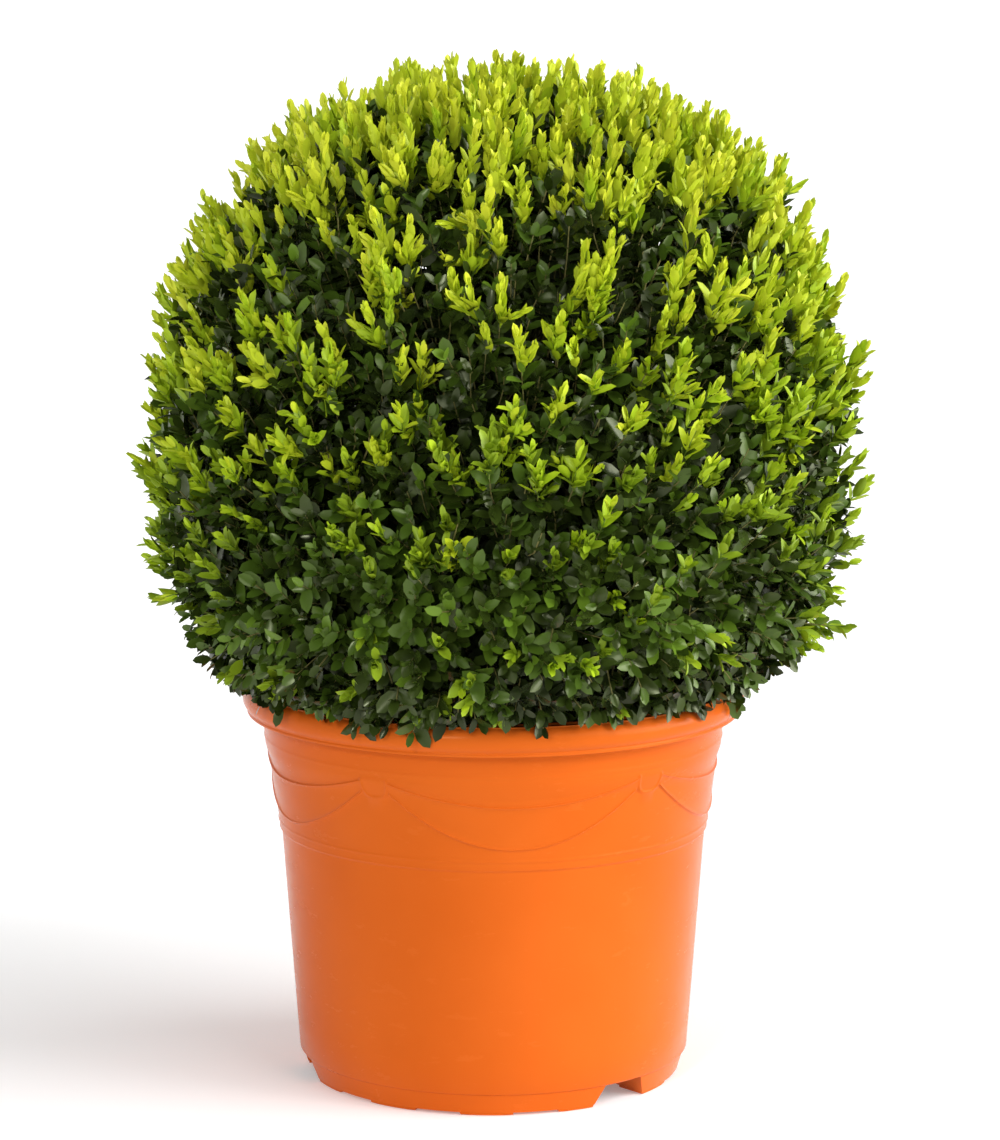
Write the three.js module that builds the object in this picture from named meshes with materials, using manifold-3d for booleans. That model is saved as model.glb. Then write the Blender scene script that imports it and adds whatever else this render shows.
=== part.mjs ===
// A clipped box ball in its moulded plastic pot. Millimetres, +Z up. The origin is the centre of the
// pot's underside on the ground, and the front of the plant faces -Y.
import * as THREE from "three";
import { mergeVertices } from "three/addons/utils/BufferGeometryUtils.js";
import Module from "manifold-3d";

const wasm = await Module();
wasm.setup();

const gap = 0.3; // air between two pieces that touch

const pot = {
  sides: 45,
  wall: 3,
  footRadius: 149, // of the foot ring, where it meets the pads
  footSpread: 4.6, // growth of the foot ring's radius up to the line over it
  ringHeight: 17.4, // line where the wall steps out over the foot ring
  baseRadius: 154.1, // of the wall, carried down to the ground
  taper: 0.0738, // growth of the radius for each millimetre of height
  bandHeight: 197.5, // foot of the decorated band
  bandStep: 1.3,
  bandFlare: 2.8, // extra radius gained up the band
  collarHeight: 268,
  collarFlare: 3.6, // extra radius gained in the hollow curve under the collar
  curveHeight: 18, // height of that curve
};

const lip = {
  radius: 200, // where the rolled rim is widest
  height: 301.7,
  edgeHeight: 291.7, // lower edge
  edgeInset: 6, // each inset is counted inwards from the widest radius
  shoulderInset: 3.2,
  shoulderHeight: 309.8,
  crestInset: 14,
  crestHeight: 316,
  innerInset: 19.5,
  innerHeight: 312.4,
};

const bandFoot = pot.bandHeight + 7;
const wallHeights = [pot.ringHeight + 0.8, pot.bandHeight, bandFoot, 250, 259, pot.collarHeight];

const base = {
  recess: 14, // height of the raised middle of the underside
  recessRadius: 118,
  slope: 2, // growth of the recess's radius down to the foot ring
  padHeight: 2,
  padCount: 12,
  padWidth: 16, // degrees
  padTurn: -2, // degrees, of one pad from the front
  padInset: 0.6, // from the foot ring's outer edge
  padReach: 26,
  notchCount: 3,
  notchTurn: 41.7, // degrees, of one notch from the front towards +X
  notchTop: 37,
  notchFoot: 53,
  notchDepth: 58, // measured along the radius, from the end of the cutting prism
  notchReach: 12, // how far the cutting prism passes the foot ring
  drainCount: 6,
  drainRadius: 6,
  drainCircle: 84,
};

const compost = { top: 285 };

const crown = {
  detail: 13,
  centre: 500,
  radius: 273,
  rise: 289, // centre to clipped top
  drop: 276, // centre to where the ball would close below the rim
  roundTop: 2.4, // 2 is an ellipse, more is squarer in the shoulders
  roundFoot: 2.2,
  lump: 10,
  lumps: 7,
  tuft: 22, // height of the tallest shoots over the clipped surface
  tuftShare: 0.42,
  clearance: 1.2, // over the rim
  seed: 21,
};

const vase = { radius: 39.5, shoulder: 352, top: 392, sides: 20 }; // hollow round stem and boughs

const stem = {
  foot: 24, // radius on the compost, over the root flare
  girth: 13,
  thinning: 0.12, // share of the girth lost by the top
  ribs: 0.22, // depth of the roots' ribs, as a share of the flare
  top: 338,
  lean: new THREE.Vector2(-4, 3), // from the foot to the top
  sides: 12,
  steps: 6,
};

const bough = {
  count: 6,
  girth: 6.6,
  tip: 4.2,
  turn: 17, // degrees, of the first
  swing: 10, // degrees it drifts round on its way up
  spread: 35, // radius reached inside the hollow
  start: 309, // height where the lowest leaves the stem
  stagger: 8,
  sides: 7,
  steps: 4,
};

const leader = { girth: 8, tip: 6, overlap: 8 };

const materials = {
  pot: new THREE.MeshStandardMaterial({ color: 0xe8681f, roughness: 0.35, metalness: 0 }),
  compost: new THREE.MeshStandardMaterial({ color: 0x33261c, roughness: 1, metalness: 0 }),
  bark: new THREE.MeshStandardMaterial({ color: 0x7d6a4c, roughness: 0.9, metalness: 0 }),
  leaves: new THREE.MeshStandardMaterial({ color: 0x4d7a1e, roughness: 0.6, metalness: 0 }),
};

function seededRandom(seed) {
  let state = seed;
  return () => {
    state = (state + 0x6d2b79f5) | 0;
    let mixed = Math.imul(state ^ (state >>> 15), 1 | state);
    mixed = (mixed + Math.imul(mixed ^ (mixed >>> 7), 61 | mixed)) ^ mixed;
    return ((mixed ^ (mixed >>> 14)) >>> 0) / 2 ** 32;
  };
}

// Degrees are counted from the front (-Y) towards +X.
function around(degrees, radius, height = 0) {
  const turn = THREE.MathUtils.degToRad(degrees);
  return new THREE.Vector3(radius * Math.sin(turn), -radius * Math.cos(turn), height);
}

// The merge runs twice, because two points that are almost equal can fall on either side of one
// rounding step.
function mergeByPlace(geometry, tolerance) {
  const bare = geometry.clone();
  bare.deleteAttribute("normal");
  bare.deleteAttribute("uv");
  return mergeVertices(mergeVertices(bare, tolerance), tolerance * 1.7);
}

// A closed mesh as a solid that can be cut and joined. Triangles that the merge has closed are dropped.
function solidOf(geometry) {
  const merged = mergeByPlace(geometry, 0.001);
  const corners = [];
  for (let i = 0; i < merged.index.count; i += 3) {
    const triangle = [0, 1, 2].map((k) => merged.index.getX(i + k));
    if (new Set(triangle).size === 3) corners.push(...triangle);
  }
  return new wasm.Manifold(new wasm.Mesh({
    numProp: 3,
    vertProperties: merged.attributes.position.array,
    triVerts: Uint32Array.from(corners),
  }));
}

function meshOf(name, solid, material) {
  const { vertProperties, triVerts } = solid.getMesh();
  const geometry = new THREE.BufferGeometry();
  geometry.setAttribute("position", new THREE.BufferAttribute(vertProperties, 3));
  geometry.setIndex(new THREE.BufferAttribute(triVerts, 1));
  geometry.computeVertexNormals();
  const mesh = new THREE.Mesh(geometry, material);
  mesh.name = name;
  return mesh;
}

function largestBody(solid) {
  return solid.decompose().reduce((best, body) => (body.volume() > best.volume() ? body : best));
}

// A turned solid from [radius, height] pairs that start and end on the axis.
function turned(profile, sides) {
  const geometry = new THREE.LatheGeometry(profile.map(([r, z]) => new THREE.Vector2(r, z)), sides);
  geometry.rotateX(Math.PI / 2);
  return solidOf(geometry);
}

// A flat outline in its own x and y, raised into a prism along +Z.
function prism(outline, height) {
  const shape = new THREE.Shape(outline);
  return new THREE.ExtrudeGeometry(shape, { depth: height, bevelEnabled: false });
}

// One tapering limb along a curve. radiusAt takes the share of the length and the angle round the limb.
function limb(path, radiusAt, sides, steps) {
  const geometry = new THREE.CylinderGeometry(1, 1, 1, sides, steps);
  const frames = path.computeFrenetFrames(steps);
  const place = geometry.attributes.position;
  for (let i = 0; i < place.count; i++) {
    const step = Math.round((place.getY(i) + 0.5) * steps);
    const radius = radiusAt(step / steps, Math.atan2(place.getZ(i), place.getX(i)));
    const point = path.getPointAt(step / steps);
    point.addScaledVector(frames.normals[step], radius * place.getX(i));
    point.addScaledVector(frames.binormals[step], -radius * place.getZ(i));
    place.setXYZ(i, point.x, point.y, point.z);
  }
  return solidOf(geometry);
}

// Outer radius of the pot's wall: a straight taper, a step at the foot of the band, and a flare that
// opens into the collar under the lip.
function wallRadius(z) {
  const { smoothstep, clamp } = THREE.MathUtils;
  const curveFoot = pot.collarHeight - pot.curveHeight;
  const step = pot.bandStep * smoothstep(z, pot.bandHeight, bandFoot);
  const flare = pot.bandFlare * clamp((z - pot.bandHeight) / (curveFoot - pot.bandHeight), 0, 1);
  const collar = pot.collarFlare * smoothstep(z, curveFoot, pot.collarHeight);
  return pot.baseRadius + pot.taper * z + step + flare + collar;
}

function potOutline() {
  return [
    [0, base.recess],
    [base.recessRadius, base.recess],
    [base.recessRadius + base.slope, base.padHeight],
    [pot.footRadius, base.padHeight],
    [pot.footRadius + pot.footSpread, pot.ringHeight],
    ...wallHeights.map((z) => [wallRadius(z), z]),
    [wallRadius(lip.edgeHeight), lip.edgeHeight + pot.wall / 2],
    [lip.radius - lip.edgeInset, lip.edgeHeight],
    [lip.radius, lip.height],
    [lip.radius - lip.shoulderInset, lip.shoulderHeight],
    [lip.radius - lip.crestInset, lip.crestHeight],
    [lip.radius - lip.innerInset, lip.innerHeight],
    [0, lip.innerHeight],
  ];
}

// The hollow of the pot, drawn in by inset all round. It follows the raised middle of the base.
function hollowOutline(inset, top) {
  const thick = pot.wall + inset;
  return [
    [0, base.recess + thick],
    [base.recessRadius + thick, base.recess + thick],
    [base.recessRadius + thick + base.slope, base.padHeight + thick],
    [pot.footRadius - thick, base.padHeight + thick],
    ...wallHeights.map((z) => [wallRadius(z) - thick, z]),
    [wallRadius(top) - thick, top],
    [0, top],
  ];
}

function joined(solids) {
  return solids.reduce((sum, one) => sum.add(one));
}

// The drainage notches cross the foot ring. Grown by the wall, they give the roof of each inside the pot.
function notches(grow) {
  const halfTop = base.notchTop / 2 + grow;
  const halfFoot = base.notchFoot / 2 + grow;
  const below = pot.ringHeight;
  const halfLow = halfFoot + (halfFoot - halfTop);
  const outline = [
    new THREE.Vector2(-halfLow, -below),
    new THREE.Vector2(halfLow, -below),
    new THREE.Vector2(halfTop, pot.ringHeight + grow),
    new THREE.Vector2(-halfTop, pot.ringHeight + grow),
  ];
  return joined(Array.from({ length: base.notchCount }, (_, k) => {
    const depth = base.notchDepth + grow;
    const geometry = prism(outline, depth);
    geometry.rotateX(Math.PI / 2);
    geometry.translate(0, depth - pot.footRadius - base.notchReach, 0);
    geometry.rotateZ(THREE.MathUtils.degToRad(base.notchTurn + (360 / base.notchCount) * k));
    return solidOf(geometry);
  }));
}

function pads() {
  const half = base.padWidth / 2;
  return joined(Array.from({ length: base.padCount }, (_, k) => {
    const turn = base.padTurn + (360 / base.padCount) * k;
    const steps = [-half, -half / 3, half / 3, half];
    const outer = steps.map((a) => around(turn + a, pot.footRadius - base.padInset));
    const inner = steps.map((a) => around(turn - a, pot.footRadius - base.padReach));
    return solidOf(prism([...outer, ...inner].map((p) => new THREE.Vector2(p.x, p.y)), base.padHeight + 1));
  }));
}

function drains() {
  return joined(Array.from({ length: base.drainCount }, (_, k) => {
    const hole = new THREE.CylinderGeometry(base.drainRadius, base.drainRadius, 2 * base.recess, 12);
    hole.rotateX(Math.PI / 2);
    hole.translate(...around(base.notchTurn + (360 / base.drainCount) * k, base.drainCircle, base.recess));
    return solidOf(hole);
  }));
}

function makePot() {
  const shell = turned(potOutline(), pot.sides).add(pads()).subtract(notches(0));
  const hollow = turned(hollowOutline(0, lip.crestHeight), pot.sides).subtract(notches(pot.wall));
  return shell.subtract(hollow).subtract(drains());
}

function makeCompost() {
  return turned(hollowOutline(gap, compost.top), pot.sides).subtract(notches(pot.wall + gap));
}

// Distance from the ball's centre to the clipped surface, in a direction given by a unit vector.
function clippedRadius(direction) {
  const level = Math.hypot(direction.x, direction.y);
  const upright = direction.z > 0;
  const height = upright ? crown.rise : crown.drop;
  const power = upright ? crown.roundTop : crown.roundFoot;
  const sum = (level / crown.radius) ** power + (Math.abs(direction.z) / height) ** power;
  return sum ** (-1 / power);
}

// The uneven ball: soft lumps where shoots crowd, and tufts that stand over the clipped surface, taller
// towards the top.
function makeBall() {
  const random = seededRandom(crown.seed);
  const waves = Array.from({ length: crown.lumps }, () => ({
    axis: new THREE.Vector3(random() - 0.5, random() - 0.5, random() - 0.5).normalize(),
    count: 4 + 9 * random(),
    phase: 2 * Math.PI * random(),
  }));
  const geometry = new THREE.IcosahedronGeometry(1, crown.detail);
  const ball = mergeByPlace(geometry, 0.001);
  const place = ball.attributes.position;
  const point = new THREE.Vector3();
  for (let i = 0; i < place.count; i++) {
    point.fromBufferAttribute(place, i).normalize();
    const wave = waves.reduce((sum, w) => sum + Math.sin(w.count * point.dot(w.axis) + w.phase), 0);
    const height = crown.tuft * (0.5 + 0.5 * THREE.MathUtils.smoothstep(point.z, -0.5, 0.5));
    const tuft = random() < crown.tuftShare ? height * (0.4 + 0.6 * random()) : 0;
    point.multiplyScalar(clippedRadius(point) + (crown.lump * wave) / crown.lumps + tuft);
    place.setXYZ(i, point.x, point.y, point.z + crown.centre);
  }
  return solidOf(ball);
}

function vaseOutline(inset) {
  const radius = vase.radius - inset;
  const arch = vase.top - inset - vase.shoulder;
  const roof = [0, 1, 2, 3].map((k) => {
    const turn = (k * Math.PI) / 8;
    return [radius * Math.cos(turn), vase.shoulder + arch * Math.sin(turn)];
  });
  const foot = compost.top - 1;
  return [[0, foot], [radius, foot], ...roof, [0, vase.top - inset]];
}

// The clipped mass fills the mouth of the pot, spreads over the rim and closes round the hollow of the
// boughs.
function makeCrown() {
  const mouth = wallRadius(lip.edgeHeight) - 2 * pot.wall;
  const low = lip.crestHeight + crown.clearance;
  const wide = 2 * crown.radius;
  const high = crown.centre + 2 * crown.rise;
  const room = turned([
    [0, compost.top + gap],
    [mouth - pot.wall, compost.top + gap],
    [mouth, low],
    [wide, low],
    [wide, high],
    [0, high],
  ], pot.sides);
  return largestBody(makeBall().intersect(room).subtract(turned(vaseOutline(0), vase.sides)));
}

function makeStem(grow) {
  const foot = new THREE.Vector3(-0.7 * stem.lean.x, -0.7 * stem.lean.y, compost.top + gap);
  const top = new THREE.Vector3(foot.x + stem.lean.x, foot.y + stem.lean.y, stem.top);
  const rise = (stem.top - compost.top) / 3;
  const path = new THREE.CubicBezierCurve3(
    foot,
    new THREE.Vector3(foot.x, foot.y, foot.z + rise),
    new THREE.Vector3(top.x, top.y, top.z - rise),
    top,
  );
  const radiusAt = (share, angle) => {
    const flare = (stem.foot - stem.girth) * Math.exp(-7 * share);
    const ribs = stem.ribs * flare * Math.cos(4 * angle);
    return stem.girth * (1 - stem.thinning * share) + flare + ribs + grow;
  };
  return limb(path, radiusAt, stem.sides, stem.steps);
}

// A bough leaves the stem sideways, then turns up. Its path runs on past the hollow, and is cut there.
function makeBough(k, grow) {
  const turn = bough.turn + (360 / bough.count) * k;
  const low = bough.start + bough.stagger * (k % 3);
  const rise = (vase.top - low) / 4;
  const path = new THREE.CubicBezierCurve3(
    around(turn, 0.1 * bough.spread, low),
    around(turn, 0.65 * bough.spread, low + 0.6 * rise),
    around(turn + bough.swing / 2, 0.9 * bough.spread, low + 2 * rise),
    around(turn + bough.swing, bough.spread, vase.top + rise),
  );
  const radiusAt = (share) => THREE.MathUtils.lerp(bough.girth, bough.tip, share) + grow;
  return limb(path, radiusAt, bough.sides, bough.steps);
}

function makeLeader(grow) {
  const foot = stem.top - leader.overlap;
  const path = new THREE.CubicBezierCurve3(
    new THREE.Vector3(-1, 1, foot),
    new THREE.Vector3(-1, 1, foot + 20),
    new THREE.Vector3(4, -1, vase.top - 20),
    new THREE.Vector3(3, 2, vase.top + 10),
  );
  const radiusAt = (share) => THREE.MathUtils.lerp(leader.girth, leader.tip, share) + grow;
  return limb(path, radiusAt, bough.sides, bough.steps);
}

// Every bough starts on the stem's bark and ends where it enters the mass of leaves.
function makeBoughs() {
  const hollow = turned(vaseOutline(gap), vase.sides);
  const ring = Array.from({ length: bough.count }, (_, k) => (grow) => makeBough(k, grow));
  let taken = makeStem(gap);
  return [makeLeader, ...ring].map((make) => {
    const solid = largestBody(make(0).intersect(hollow).subtract(taken));
    taken = taken.add(make(gap));
    return solid;
  });
}

const plant = new THREE.Group();
plant.add(meshOf("pot", makePot(), materials.pot));
plant.add(meshOf("compost", makeCompost(), materials.compost));
plant.add(meshOf("stem", makeStem(0), materials.bark));
const [leading, ...spreading] = makeBoughs();
plant.add(meshOf("bough_leader", leading, materials.bark));
spreading.forEach((solid, k) => plant.add(meshOf(`bough_${k + 1}`, solid, materials.bark)));
plant.add(meshOf("crown", makeCrown(), materials.leaves));

export default plant;
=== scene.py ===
import math

import bmesh
import bpy
import numpy as np
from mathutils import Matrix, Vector


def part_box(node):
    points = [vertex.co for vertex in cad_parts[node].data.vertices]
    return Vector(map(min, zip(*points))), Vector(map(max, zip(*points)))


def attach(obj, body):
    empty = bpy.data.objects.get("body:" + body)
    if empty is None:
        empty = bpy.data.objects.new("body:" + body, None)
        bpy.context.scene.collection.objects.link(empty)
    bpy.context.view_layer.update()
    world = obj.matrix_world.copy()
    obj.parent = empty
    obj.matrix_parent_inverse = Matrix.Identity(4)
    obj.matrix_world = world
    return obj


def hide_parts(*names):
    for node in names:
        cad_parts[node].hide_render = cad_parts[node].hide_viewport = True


# A clipped box ball in its moulded nursery pot. Metres, +Z up, the front faces -Y.
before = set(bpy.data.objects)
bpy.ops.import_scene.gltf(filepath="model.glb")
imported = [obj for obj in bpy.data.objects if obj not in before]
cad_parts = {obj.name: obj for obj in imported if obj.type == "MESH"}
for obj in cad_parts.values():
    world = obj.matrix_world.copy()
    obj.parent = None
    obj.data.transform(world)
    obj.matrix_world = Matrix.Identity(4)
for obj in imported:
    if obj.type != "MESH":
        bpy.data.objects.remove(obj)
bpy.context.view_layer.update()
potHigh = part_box("pot")[1]
crownLow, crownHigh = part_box("crown")
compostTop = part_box("compost")[1].z
stemLow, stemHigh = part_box("stem")
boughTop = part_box("bough_leader")[1].z
rimRadius = potHigh.x
upward = np.array([0.0, 0.0, 1.0])


# Small helpers: colours, node trees, meshes from arrays.

def linear(hexText):
    parts = [int(hexText[i:i + 2], 16) / 255 for i in (0, 2, 4)]
    return [c / 12.92 if c <= 0.04045 else ((c + 0.055) / 1.055) ** 2.4 for c in parts] + [1.0]


def smooth(value, low, high):
    share = np.clip((value - low) / (high - low), 0, 1)
    return share * share * (3 - 2 * share)


def unit(vectors):
    return vectors / np.maximum(np.linalg.norm(vectors, axis=-1, keepdims=True), 1e-9)


def addNode(tree, kind, settings=None, links=None):
    # settings are the node's own options; links go to its inputs, as sockets or as fixed values
    node = tree.nodes.new(kind)
    for name, value in (settings or {}).items():
        setattr(node, name, value)
    for name, value in (links or {}).items():
        if isinstance(value, bpy.types.NodeSocket):
            tree.links.new(value, node.inputs[name])
        else:
            node.inputs[name].default_value = value
    return node


def newMaterial(name, colour, roughness, **sockets):
    # a Principled surface; the fixed values sit on its own sockets
    material = bpy.data.materials.new(name)
    material.use_nodes = True
    shader = material.node_tree.nodes["Principled BSDF"]
    shader.inputs["Base Color"].default_value = linear(colour)
    shader.inputs["Roughness"].default_value = roughness
    for socket, value in sockets.items():
        shader.inputs[socket.replace("_", " ")].default_value = value
    return material, material.node_tree, shader


def meshPiece(name, points, faces, material):
    # faces is an array with one row of corners for each face
    mesh = bpy.data.meshes.new(name)
    faces = np.asarray(faces, np.int32)
    corners = faces.shape[1]
    mesh.vertices.add(len(points))
    mesh.vertices.foreach_set("co", np.asarray(points, np.float32).ravel())
    mesh.loops.add(faces.size)
    mesh.loops.foreach_set("vertex_index", faces.ravel())
    mesh.polygons.add(len(faces))
    mesh.polygons.foreach_set("loop_start", np.arange(0, faces.size, corners, dtype=np.int32))
    mesh.polygons.foreach_set("use_smooth", np.ones(len(faces), bool))
    mesh.update(calc_edges=True)
    mesh.materials.append(material)
    return inScene(name, mesh)


def solidFrom(name, points, faces):
    # a closed solid from lists of corners, of any number to a face
    mesh = bpy.data.meshes.new(name)
    mesh.from_pydata([tuple(p) for p in points], [], [tuple(f) for f in faces])
    return inScene(name, mesh)


def inScene(name, mesh):
    piece = bpy.data.objects.new(name, mesh)
    bpy.context.scene.collection.objects.link(piece)
    return piece


def finished(piece, slot, *nodes):
    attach(piece, "root")
    if nodes:
        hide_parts(*nodes)
    return piece


def nodeGroup(name, **inputs):
    # a Geometry Nodes tree with one geometry in and out, and a named input for each size
    kinds = {float: "NodeSocketFloat", int: "NodeSocketInt", bpy.types.Material: "NodeSocketMaterial"}
    tree = bpy.data.node_groups.new(name, "GeometryNodeTree")
    tree.interface.new_socket("Geometry", in_out="INPUT", socket_type="NodeSocketGeometry")
    tree.interface.new_socket("Geometry", in_out="OUTPUT", socket_type="NodeSocketGeometry")
    for label, kind in inputs.items():
        tree.interface.new_socket(label, in_out="INPUT", socket_type=kinds[kind])
    return tree, tree.nodes.new("NodeGroupInput").outputs, tree.nodes.new("NodeGroupOutput").inputs


def endTree(tree, given, result, geometry):
    # each tree ends in real geometry that wears the given material
    real = addNode(tree, "GeometryNodeRealizeInstances", None, {"Geometry": geometry})
    shown = addNode(tree, "GeometryNodeSetMaterial", None,
                    {"Geometry": real.outputs["Geometry"], "Material": given["Material"]})
    tree.links.new(shown.outputs["Geometry"], result["Geometry"])
    return tree


def throughNodes(piece, tree, **values):
    # runs the tree on the piece and leaves a plain mesh
    modifier = piece.modifiers.new(tree.name, "NODES")
    modifier.node_group = tree
    sockets = {s.name: s.identifier for s in tree.interface.items_tree if s.in_out == "INPUT"}
    for label, value in values.items():
        modifier[sockets[label]] = value
    return baked(piece)


def baked(piece):
    # the evaluated mesh takes the place of the mesh and its modifiers
    evaluated = piece.evaluated_get(bpy.context.evaluated_depsgraph_get())
    made = bpy.data.meshes.new_from_object(evaluated)
    piece.modifiers.clear()
    piece.data = made
    return piece


# The pot: polypropylene, injection moulded, orange all through.
pot = {
    "wall": 0.003,
    "baseRadius": 0.1541,  # of the wall, carried down to the ground
    "taper": 0.0738,
    "footHeight": 0.0174,
    "bandHeight": 0.1975,
    "bandStep": 0.0013,
    "bandFlare": 0.0028,
    "collarHeight": 0.268,
    "collarFlare": 0.0036,
    "curve": 0.018,  # height over which the wall curves out to the collar
    "neckHeight": 0.288,  # where the wall meets the rolled rim
    "lipEdge": 0.2917,  # lowest line of the rolled rim
    "innerHeights": (0.262, 0.25, 0.206, 0.192),
    # fine raised lines: over which height, how far over it, their rise and their width
    "beads": (("collarHeight", 0.0046, 0.0005, 0.0012), ("bandHeight", 0.0078, 0.0006, 0.0009),
              ("bandHeight", 0.0008, 0.0004, 0.0008)),
}

garland = {
    "count": 5,
    "knotTurn": 41.7,  # degrees from the front towards +X
    "knotWidth": 8.0,  # degrees
    "topEnd": 0.2642,  # heights of the swag's two edges at the knots, and how far they sag
    "topSag": 0.0158,
    "lowEnd": 0.2555,
    "lowSag": 0.0405,
    "relief": 0.0007,
    "cord": 0.0012,
    "cordWidth": 0.0009,
    "edge": 0.0012,
    "dropRise": 0.0006,
    "dropWidth": 0.0116,
    "dropHeight": 0.0138,
    "dropRoundness": 2.6,
    "columns": 144,  # of the mesh, for each swag
    "evenColumns": 0.14,  # share of their spacing that is even; the rest crowds to the knots
    "crowding": 2.1,
}


def potMaterial():
    # satin polypropylene: a fine mould texture, cloudy flow marks about 140 mm across, and paler
    # rubs 40 mm wide and a third as high, where pots touched in transport
    material, tree, shader = newMaterial("mouldedPolypropylene", "ca5c1a", 0.26, IOR=1.49,
                                         Specular_IOR_Level=0.14, Specular_Tint=linear("ffc48e"))
    place = addNode(tree, "ShaderNodeTexCoord").outputs["Object"]
    cloud = addNode(tree, "ShaderNodeTexNoise", None, {"Vector": place, "Scale": 7, "Detail": 4})
    tint = addNode(tree, "ShaderNodeValToRGB", None, {"Fac": cloud.outputs["Fac"]})
    for element, position, colour in zip(tint.color_ramp.elements, (0.35, 0.65), ("c65917", "cd5f1c")):
        element.position, element.color = position, linear(colour)
    squeezed = addNode(tree, "ShaderNodeMapping", None, {"Vector": place, "Scale": (1, 1, 3)})
    rub = addNode(tree, "ShaderNodeTexNoise", None,
                  {"Vector": squeezed.outputs["Vector"], "Scale": 26, "Detail": 6, "Roughness": 0.72})
    worn = addNode(tree, "ShaderNodeMapRange", None,
                   {"Value": rub.outputs["Fac"], "From Min": 0.6, "From Max": 0.82, "To Max": 0.10})
    scuffed = addNode(tree, "ShaderNodeMix", {"data_type": "RGBA"},
                      {0: worn.outputs["Result"], 6: tint.outputs["Color"], 7: linear("df8344")})
    tree.links.new(scuffed.outputs[2], shader.inputs["Base Color"])
    gloss = addNode(tree, "ShaderNodeMapRange", None,
                    {"Value": rub.outputs["Fac"], "From Min": 0.35, "From Max": 0.75,
                     "To Min": 0.2, "To Max": 0.31})
    tree.links.new(gloss.outputs["Result"], shader.inputs["Roughness"])
    grainSize = 0.0012  # of the mould's spark-eroded texture, drawn coarse enough to show
    grain = addNode(tree, "ShaderNodeTexNoise", None, {"Vector": place, "Scale": 1 / grainSize, "Detail": 2})
    bump = addNode(tree, "ShaderNodeBump", None,
                   {"Height": grain.outputs["Fac"], "Strength": 0.12, "Distance": 0.0002})
    tree.links.new(bump.outputs["Normal"], shader.inputs["Normal"])
    return material


def wallRadius(z):
    # a taper, a small step up to the band, then a slight flare that curves out to the collar
    band, curveFoot = pot["bandHeight"], pot["collarHeight"] - pot["curve"]
    step = pot["bandStep"] * smooth(z, band - 0.0008, band + 0.0012)
    flare = pot["bandFlare"] * np.clip((z - band) / (curveFoot - band), 0, 1)
    collar = pot["collarFlare"] * smooth(z, curveFoot, pot["collarHeight"])
    return pot["baseRadius"] + pot["taper"] * z + step + flare + collar


def roundedPath(corners, steps):
    # corners are (radius, height, fillet); each fillet becomes an arc
    path = []
    for before, corner, after in zip(corners, corners[1:], corners[2:]):
        here = np.array(corner[:2])
        back, on = unit(np.array(before[:2]) - here), unit(np.array(after[:2]) - here)
        half = math.acos(np.clip(back @ on, -1, 1)) / 2
        reach = corner[2] / math.tan(half)
        centre = here + unit(back + on) * corner[2] / math.sin(half)
        start, end = here + back * reach - centre, here + on * reach - centre
        for share in np.linspace(0, 1, steps):
            path.append(centre + unit(start * (1 - share) + end * share) * corner[2])
    return np.array([corners[0][:2], *path, corners[-1][:2]])


def spun(radius, height, turn, closed=False):
    # points of a turned grid, and its quads; the faces point out where the rows climb outside
    radius, height, turn = np.broadcast_arrays(radius, height, turn)
    rows, columns = radius.shape
    points = np.stack([radius * np.sin(turn), -radius * np.cos(turn), height], -1)
    low = np.arange(rows if closed else rows - 1)[:, None] * columns + np.arange(columns)
    high = (low + columns) % (rows * columns)
    ahead = np.roll(np.arange(columns), -1) - np.arange(columns)
    return points, np.stack([low, low + ahead, high + ahead, high], -1).reshape(-1, 4)


def evenTurns(columns):
    return np.arange(columns) * 2 * math.pi / columns


def around(degrees, radius, z):
    turn = math.radians(degrees)
    return np.array([radius * math.sin(turn), -radius * math.cos(turn), z])


def potTurns():
    # columns crowd together at the knots, where the relief is finest
    period, even = 360 / garland["count"], garland["evenColumns"]
    share = np.linspace(-1, 1, garland["columns"], endpoint=False)
    crowded = (1 - even) * np.sign(share) * np.abs(share) ** garland["crowding"]
    spread = period / 2 * (even * share + crowded)
    turns = [garland["knotTurn"] + period * k + spread for k in range(garland["count"])]
    return np.radians(np.concatenate(turns))


def swagLines(turn):
    # heights of the swag's two edges at each column, where the column stands in its swag, and
    # how far it is from the nearest knot
    period = 360 / garland["count"]
    half = (period - garland["knotWidth"]) / 2
    fromKnot = (np.degrees(turn) - garland["knotTurn"]) % period
    share = (fromKnot - period / 2) / half
    sag = 1 - np.minimum(np.abs(share), 1) ** 2
    top, low = garland["topEnd"] - garland["topSag"] * sag, garland["lowEnd"] - garland["lowSag"] * sag
    return top, low, share, np.radians((fromKnot + period / 2) % period - period / 2)


def garlandRelief(turn, z, radius):
    # five swags hang round the band; a cord follows each edge, and a rounded drop hangs at each knot
    top, low, share, sideways = swagLines(turn)
    edge, power, halfSwag = garland["edge"], garland["dropRoundness"], 0.56  # radians
    inside = smooth((1.0 - np.abs(share)) * radius * halfSwag, -edge / 3, edge / 3)
    swag = inside * smooth(z - low, -edge / 2, edge / 2) * smooth(top - z, -edge / 2, edge / 2)
    cords = sum(inside * np.exp(-((z - line) / garland["cordWidth"]) ** 2) for line in (top, low))
    across = sideways * radius / garland["dropWidth"]
    hang = (garland["topEnd"] + 0.001 - z) / garland["dropHeight"]
    hanging = (np.abs(across) ** power + np.clip(hang, 0, 2) ** power) ** (1 / power)
    outline = np.where(hang > 0, hanging, np.abs(across))
    drop = smooth(1 - outline, -0.06, 0.06) * smooth(hang, -0.35, 0)
    hem = np.exp(-((1 - outline) / 0.09) ** 2) * (hang > -0.1)
    raised = garland["relief"] * swag + garland["dropRise"] * drop
    return raised + garland["cord"] * np.maximum(cords, 0.9 * hem)


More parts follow.
